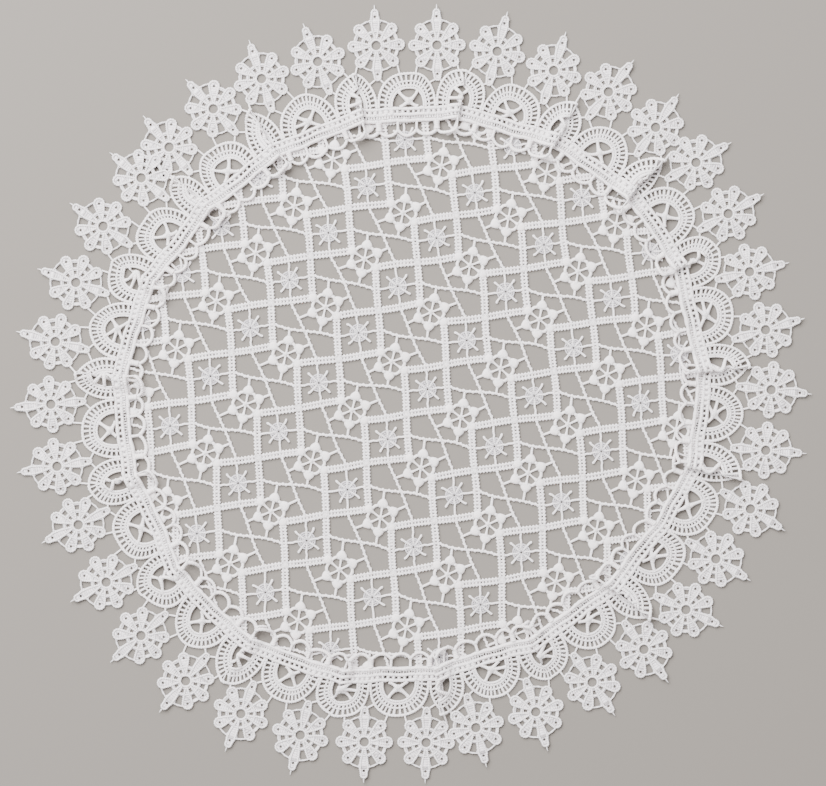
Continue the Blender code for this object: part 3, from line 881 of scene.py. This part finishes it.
def fanRepeat(number):  # one repeat of the strip, a little uneven
    half = pitch / 2
    threads = []
    rungs = []
    for reach, railHalf in headingSizes["rails"]:
        at = np.linspace(-half, half, 2 * headingSizes["steps"] + 1)
        width = railHalf + chance.uniform(-0.17, 0.17, len(at))
        wobble = headingSizes["railWobble"] * chance.uniform(-1, 1, len(at))
        wobble[[0, -1]] = 0
        width[[0, -1]] = railHalf
        threads.append((np.column_stack((at, reach + wobble)), width, False))
    rows = [reach for reach, _ in headingSizes["rails"]]
    openAt = chance.uniform(*headingSizes["openAt"])
    for low, high, (count, openHalf, closedHalf) in zip(rows[:-1], rows[1:], headingSizes["rungs"]):
        for at in -half + (np.arange(count) + 0.5) * pitch / count:
            lean = chance.uniform(-0.12, 0.12)
            rung = np.array(((at - lean, low), (at, (low + high) / 2), (at + lean, high)))
            closed = smoothStep((abs(at - openAt) - headingSizes["openReach"]) / 4)
            width = openHalf + (closedHalf - openHalf) * closed
            rungs.append((rung, width * chance.uniform(0.82, 1.22), False))
    teeth = fanSizes["teeth"] * ((np.arange(77) % 2) * 2 - 1)
    threads.append((archOf(fanSizes["outer"], np.linspace(0, math.pi, 77)), fanSizes["outer"][2] + teeth, False))
    sweep = np.linspace(0, math.pi, 31)
    threads.append((archOf(fanSizes["mid"], sweep[::2]), fanSizes["mid"][2], False))
    for rim in ("fill", "inner"):
        threads.append((archOf(fanSizes[rim], sweep[::2]), fanSizes[rim][2] + chance.uniform(-0.06, 0.06, 16), False))
    for t in (np.arange(fanSizes["rays"]) + 0.5) * math.pi / fanSizes["rays"]:
        ray = np.array([archOf(fanSizes[key], np.array([t]))[0] for key in ("outer", "mid", "inner")])
        rungs.append((ray, np.array([chance.uniform(*widths) for widths in fanSizes["rayHalf"]]), False))
    hub = np.array(fanSizes["hub"]) + chance.uniform(-0.5, 0.5, 2)
    ends = list(fanSizes["webEnds"])
    if number % 2:
        ends.append(fanSizes["sideEnd"])
    for end in ends:
        end = np.array(end) + chance.uniform(-0.6, 0.6, 2)
        spoke = hub + (end - hub) * np.array((0.0, 0.18, 0.36, 0.7, 1.0))[:, None]
        spoke[2:4] += chance.uniform(-0.35, 0.35, 2)
        threads.append((spoke, np.array(fanSizes["webHalf"]), False))
    arch = pitch / archSizes["each"]
    joints = -half + arch * np.arange(archSizes["each"] + 1)
    joints[1:-1] += chance.uniform(-1, 1, len(joints) - 2) * archSizes["jitter"]
    for k in range(archSizes["each"]):
        way = np.linspace(-1, 1, 19)
        bottom = chance.uniform(*archSizes["bottom"])
        x = (joints[k] + joints[k + 1]) / 2 + (joints[k + 1] - joints[k]) / 2 * way
        y = bottom + (archSizes["top"] - bottom) * np.abs(way) ** 2.2
        threads.append((np.column_stack((x, y)), chance.uniform(*archSizes["half"]) + 0.8 * teeth[:19], False))
        post = archSizes["junctionHalf"] if k == 0 else archSizes["postHalf"]
        path = np.array([(joints[k], reach) for reach in (-3.4, -5.4, archSizes["top"] + 0.2)])
        threads.append((path, np.array((post, post * 0.8, post)), False))
    name = f"repeat_{number}"
    return joinPieces(
        name,
        [
            sewThreads(name + "_threads", threads, 6, 0.85, edgingThread),
            sewThreads(name + "_rungs", rungs, 4, 0.6, edgingThread),
        ],
    )


repeatKinds = 6
kindOf = chance.permutation(np.arange(fanCount) % repeatKinds)
strips = []
for number in range(repeatKinds):
    laps = np.flatnonzero(kindOf == number) * pitch
    laps = np.column_stack((laps, np.zeros(len(laps))))
    strips.append(layMotifs(f"strip_{number}", fanRepeat(number), laps, 0.0, 1.0, edgingThread))
edgingStrip = settle(joinPieces("edging_strip", strips), stripPlace, True)
print("edging strip", faceCount(edgingStrip))


petalSizes = {
    "sideRows": ((3.3, 0.85), (5.0, 1.3), (6.9, 1.9), (8.8, 2.4), (10.6, 2.75)),  # out from the middle, half width
    "longRows": ((3.3, 0.85), (5.0, 1.25), (6.9, 1.7), (8.8, 2.05), (10.6, 2.25), (13.2, 2.4), (15.2, 1.95)),
    "lobe": 2.95,
    "reach": 14.4,
    "longEnd": 1.95,
    "outerReach": 18.3,
    "innerReach": 17.9,
    "heart": 2.3,
    "rimHalf": 0.56,
    "rimStep": 0.6,
    "rimTeeth": 0.17,
    "rimUp": 0.36,
    "rings": ((2.9, 0.64, 16), (7.0, 0.5, 32)),  # reach, half width, corners
    "sideBridge": (11.1, 0.2, 0.52),  # reach, half of its turn, half width
    "longBridge": (12.7, 0.21, 0.44),
    "innerHoles": ((4.3, 0.6), (5.2, 1.0), (6.1, 0.95)),
    "outerHoles": ((7.7, 1.0), (8.8, 1.45), (9.9, 1.4)),
    "longHoles": ((7.7, 1.0), (9.4, 1.5), (11.2, 1.9), (12.2, 1.7)),
    "eyelet": 0.72,
    "plateHalf": 0.3,
}


def lobeOut(off, distance, size):  # polar outline of a round lobe, nought where the ray misses it
    inside = size ** 2 - (distance * np.sin(off)) ** 2
    out = distance * np.cos(off) + np.sqrt(np.maximum(inside, 0))
    return np.where((inside > 0) & (np.cos(off) > 0), out, 0)


def petalReach(index):
    return petalSizes["outerReach"] if index == 0 else petalSizes["innerReach"] if index == 4 else petalSizes["reach"]


def flowerOutline(angle):
    out = np.full(len(angle), 11.4)
    fromTip = np.abs((angle + math.pi) % (2 * math.pi) - math.pi)
    out[(fromTip < math.radians(40)) | (fromTip > math.radians(140))] = 13.0
    for index in range(8):
        off = angle - index * math.pi / 4
        reach = petalReach(index)
        if reach > 15:
            out = np.maximum(out, lobeOut(off, reach - petalSizes["longEnd"], petalSizes["longEnd"]))
            out = np.maximum(out, lobeOut(off, 13.2, 2.5))
        else:
            out = np.maximum(out, lobeOut(off, reach - petalSizes["lobe"], petalSizes["lobe"]))
    return out


def holeAt(angle, rows):
    outline = [(half, out) for out, half in rows] + [(-half, out) for out, half in rows[::-1]]
    return turned(outline, angle)


def turned(points, angle):  # angle is measured from the outer tip, which points along +Y
    points = np.asarray(points, float)
    return np.column_stack(
        (
            points[:, 0] * math.cos(angle) - points[:, 1] * math.sin(angle),
            points[:, 0] * math.sin(angle) + points[:, 1] * math.cos(angle),
        )
    )


def flowerPlate(name):
    angle = np.arange(120) * math.pi / 60
    out = flowerOutline(angle)
    loops = [np.column_stack((-np.sin(angle) * out, np.cos(angle) * out))]
    way = np.arange(14) * math.pi / 7
    loops.append(np.column_stack((np.cos(way), np.sin(way))) * petalSizes["heart"])
    eyelet = np.column_stack((np.cos(way[::2]), np.sin(way[::2]))) * petalSizes["eyelet"]
    for index in range(8):
        gap = (index + 0.5) * math.pi / 4
        beside = index in (0, 3, 4, 7)
        loops.append(holeAt(gap, petalSizes["innerHoles"]))
        loops.append(holeAt(gap, petalSizes["longHoles" if beside else "outerHoles"]))
        out = 14.4 if petalReach(index) > 15 else 11.4
        loops.append(turned(eyelet + (0, out), index * math.pi / 4))
    curve = bpy.data.curves.new(name, "CURVE")
    curve.dimensions = "2D"
    curve.fill_mode = "BOTH"
    curve.extrude = petalSizes["plateHalf"]
    for loop in loops:
        spline = curve.splines.new("POLY")
        spline.points.add(len(loop) - 1)
        spline.points.foreach_set("co", np.column_stack((loop, np.zeros(len(loop)), np.ones(len(loop)))).ravel())
        spline.use_cyclic_u = True
    drawn = bpy.data.objects.new(name, curve)
    bpy.context.scene.collection.objects.link(drawn)
    mesh = bpy.data.meshes.new_from_object(drawn.evaluated_get(bpy.context.evaluated_depsgraph_get()))
    bpy.data.objects.remove(drawn)
    build = bmesh.new()
    build.from_mesh(mesh)
    bmesh.ops.remove_doubles(build, verts=build.verts, dist=0.002)
    bmesh.ops.recalc_face_normals(build, faces=build.faces)
    build.to_mesh(mesh)
    build.free()
    places = np.empty(len(mesh.vertices) * 3)
    mesh.vertices.foreach_get("co", places)
    places = places.reshape(-1, 3)
    mesh.attributes.new("along", "FLOAT", "POINT").data.foreach_set("value", np.hypot(places[:, 0], places[:, 1]))
    mesh.attributes.new("around", "FLOAT", "POINT").data.foreach_set("value", np.zeros(len(places)))
    return newPiece(name, mesh)


def petalRim(index):
    inset = petalSizes["rimHalf"] - 0.05
    reach = petalReach(index)
    side = [(half - inset, out) for out, half in petalSizes["longRows" if reach > 15 else "sideRows"]]
    end = petalSizes["longEnd" if reach > 15 else "lobe"]
    middleOut = reach - end
    way = np.linspace(0.15, math.pi - 0.15, 7)
    cap = [((end - inset) * math.cos(a), middleOut + (end - inset) * math.sin(a)) for a in way]
    path = side + cap + [(-half, out) for half, out in side[::-1]]
    return finely(turned(path, index * math.pi / 4), petalSizes["rimStep"])


rimThreads = []
up = petalSizes["rimUp"]
for index in range(8):
    path = petalRim(index)
    path = np.column_stack((path, np.full(len(path), up)))
    teeth = petalSizes["rimTeeth"] * ((np.arange(len(path)) % 2) * 2 - 1)
    rimThreads.append((path, petalSizes["rimHalf"] + teeth, False))
    reach, spread, half = petalSizes["longBridge" if index in (0, 3, 4, 7) else "sideBridge"]
    way = (index + 0.5) * math.pi / 4 + np.linspace(-spread, spread, 5)
    path = np.column_stack((-np.sin(way) * reach, np.cos(way) * reach, np.full(5, up - 0.1)))
    rimThreads.append((path, half + 0.5 * petalSizes["rimTeeth"] * np.array((1, -1, 1, -1, 1)), False))
for radius, half, count in petalSizes["rings"]:
    way = np.arange(count) * 2 * math.pi / count
    path = np.column_stack((np.cos(way) * radius, np.sin(way) * radius, np.full(count, up - 0.05)))
    rimThreads.append((path, half, True))
picot = np.array(((0.0, 17.6, 0.2), (0.1, 19.2, 0.25), (0.0, 20.4, 0.2)))
rimThreads.append((picot, np.array((0.5, 0.32, 0.14)), False))
flowerPlates = flowerPlate("flower_plate")
flowerRims = sewThreads("flower_rims", rimThreads, 4, 0.85, petalThread)

flowerAngle = np.radians(fanTable[:, 0])
flowerOut = fanTable[:, 1]
flowerTurn = flowerAngle + np.radians(fanTable[:, 2]) - math.pi / 2
flowerPlaces = np.column_stack((middle[0] + flowerOut * np.cos(flowerAngle), middle[1] + flowerOut * np.sin(flowerAngle)))
tipLift = 1.0
lapOver = (15, 14)  # this flower laps over that one


def flowerSurface(points):  # flowers lie on the table, their outer tips a little up, and one laps over its neighbour
    x, y, z = points.T
    reach = reachOf(x, y)
    index = np.repeat(np.arange(fanCount), len(x) // fanCount)  # the flowers' vertices lie in turn
    away = reach - (flowerOut[index] - ringRadius(flowerAngle[index]))
    lift = tipLift * (0.5 + 0.5 * np.sin(index * 2.4)) * np.clip((away - 4) / 15, 0, 1) ** 2
    lap = np.hypot(x - flowerPlaces[lapOver[1], 0], y - flowerPlaces[lapOver[1], 1])
    lift = lift + np.where(index == lapOver[0], 1.3 * smoothStep((17.5 - lap) / 4), 0)
    base = np.interp(reach, stripSizes["heightReach"], stripSizes["heights"])
    return np.column_stack((x, y, z + 0.42 + base + lift))


edgingFlowers = joinPieces(
    "edging_flowers",
    [
        settle(layMotifs("flower_rims", flowerRims, flowerPlaces, flowerTurn, 1.0, petalThread), flowerSurface),
        settle(layMotifs("flower_plates", flowerPlates, flowerPlaces, flowerTurn, 1.0, infillThread), flowerSurface),
    ],
)
print("edging flowers", faceCount(edgingFlowers))

# Short threads that tie each flower to the fans on its two sides
tieSizes = {
    "half": 0.46,
    "longest": 6.5,
    "spots": ((0.9, -16.9), (10.1, -10.1)),  # on the flower, either side of its inner petal
}
rimWay = archOf(fanSizes["outer"], np.linspace(0.3, math.pi - 0.3, 41))
rimFirst = np.repeat(np.arange(fanCount) * pitch, len(rimWay))
rimFlat = np.column_stack((rimFirst + np.tile(rimWay[:, 0], fanCount), np.tile(rimWay[:, 1], fanCount), np.zeros(len(rimFirst))))
fanRims = stripPlace(rimFlat).reshape(fanCount, len(rimWay), 3)
tieThreads = []
for k in range(fanCount):
    for side in (-1, 1):
        rim = fanRims[k if side > 0 else (k - 1) % fanCount]
        for across, out in tieSizes["spots"]:
            begin = flowerPlaces[k] + turned([(-side * across, out)], flowerTurn[k])[0]
            end = rim[np.argmin(np.hypot(*(rim[:, :2] - begin).T))]
            begin = np.array((begin[0], begin[1], 0.5))
            if np.linalg.norm(end - begin) > tieSizes["longest"]:
                continue
            path = begin + (end - begin) * np.array(((0.0,), (0.33,), (0.66,), (1.0,)))
            tieThreads.append((path, tieSizes["half"], False))
edgingTies = settle(sewThreads("edging_ties", tieThreads, 6, 0.85, edgingThread), lambda points: points)
print("edging ties", faceCount(edgingTies))

seamSizes = {
    "reach": (-1.6,),
    "pitch": 3.4,
    "long": 2.4,
    "half": 0.2,
}


def seamStitches():
    stitch = sewThreads("stitch", [(np.array(((-1.2, 0, -0.1), (-0.8, 0, 0.12), (0.8, 0, 0.12), (1.2, 0, -0.1))), seamSizes["half"], False)], 5, 1.0, seamThread)
    count = int(fanCount * pitch / seamSizes["pitch"])
    at = (np.arange(count) + 0.5) * fanCount * pitch / count - pitch / 2
    places = np.vstack([np.column_stack((at, np.full(count, reach), np.full(count, 0.72))) for reach in seamSizes["reach"]])
    return settle(layMotifs("seam_stitches", stitch, places, 0.12, 1.0, seamThread), stripPlace, True)


seam = seamStitches()
print("seam", faceCount(seam))

for piece, node, slotName in (
    (groundBars, "centre_ground", "ground_lace"),
    (groundCords, "centre_ground", "ground_lace"),
    (groundStars, "centre_ground", "ground_lace"),
    (groundFlowers, "centre_ground", "ground_lace"),
    (edgingStrip, "lace_edging", "edging_lace"),
    (edgingFlowers, "lace_edging", "edging_lace"),
    (edgingTies, "lace_edging", "edging_lace"),
    (seam, "lace_edging", "edging_lace"),
):
    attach(piece, "root")
    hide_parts(node)
across = 2 * (roundShape["headingRadius"] + 2.4) * mm

# Table, light and camera

stageLook = {
    "floorColour": (0.17, 0.155, 0.14),
    "skyColour": (1.0, 0.985, 0.98),
    "skyStrength": 1.15,
    "keyPower": 100.0,
    "keySize": 1.2,
    "keyPlace": (-0.55, 0.75, 1.15),
    "cameraHeight": 1.5,
    "frameWide": 0.413,
}


def makeFloor():
    floorMesh = bpy.data.meshes.new("floor")
    build = bmesh.new()
    bmesh.ops.create_grid(build, x_segments=1, y_segments=1, size=4.0)
    build.to_mesh(floorMesh)
    build.free()
    for vertex in floorMesh.vertices:
        vertex.co.z = -0.0002
    floor = newPiece("floor", floorMesh)
    material = bpy.data.materials.new("floorPaper")
    material.use_nodes = True
    shader = material.node_tree.nodes["Principled BSDF"]
    shader.inputs["Base Color"].default_value = (*stageLook["floorColour"], 1)
    shader.inputs["Roughness"].default_value = 0.95
    shader.inputs["Specular IOR Level"].default_value = 0.1
    floorMesh.materials.append(material)


makeFloor()
world = bpy.data.worlds.new("studio")
world.use_nodes = True
sky = world.node_tree.nodes["Background"]
sky.inputs["Color"].default_value = (*stageLook["skyColour"], 1)
sky.inputs["Strength"].default_value = stageLook["skyStrength"]
bpy.context.scene.world = world


def addLamp(name, place, size, power):
    light = bpy.data.lights.new(name, "AREA")
    light.size = size
    light.energy = power
    lamp = bpy.data.objects.new(name, light)
    lamp.location = place
    direction = -lamp.location
    lamp.rotation_euler = direction.to_track_quat("-Z", "Y").to_euler()
    bpy.context.scene.collection.objects.link(lamp)


addLamp("keyLight", stageLook["keyPlace"], stageLook["keySize"], stageLook["keyPower"])

cameraData = bpy.data.cameras.new("camera")
cameraData.sensor_width = 36.0
cameraData.lens = 36.0 * stageLook["cameraHeight"] / stageLook["frameWide"]
camera = bpy.data.objects.new("camera", cameraData)
camera.location = (-0.06 * mm, 0.21 * mm, stageLook["cameraHeight"])
bpy.context.scene.collection.objects.link(camera)
bpy.context.scene.camera = camera
print("table, light and camera set")
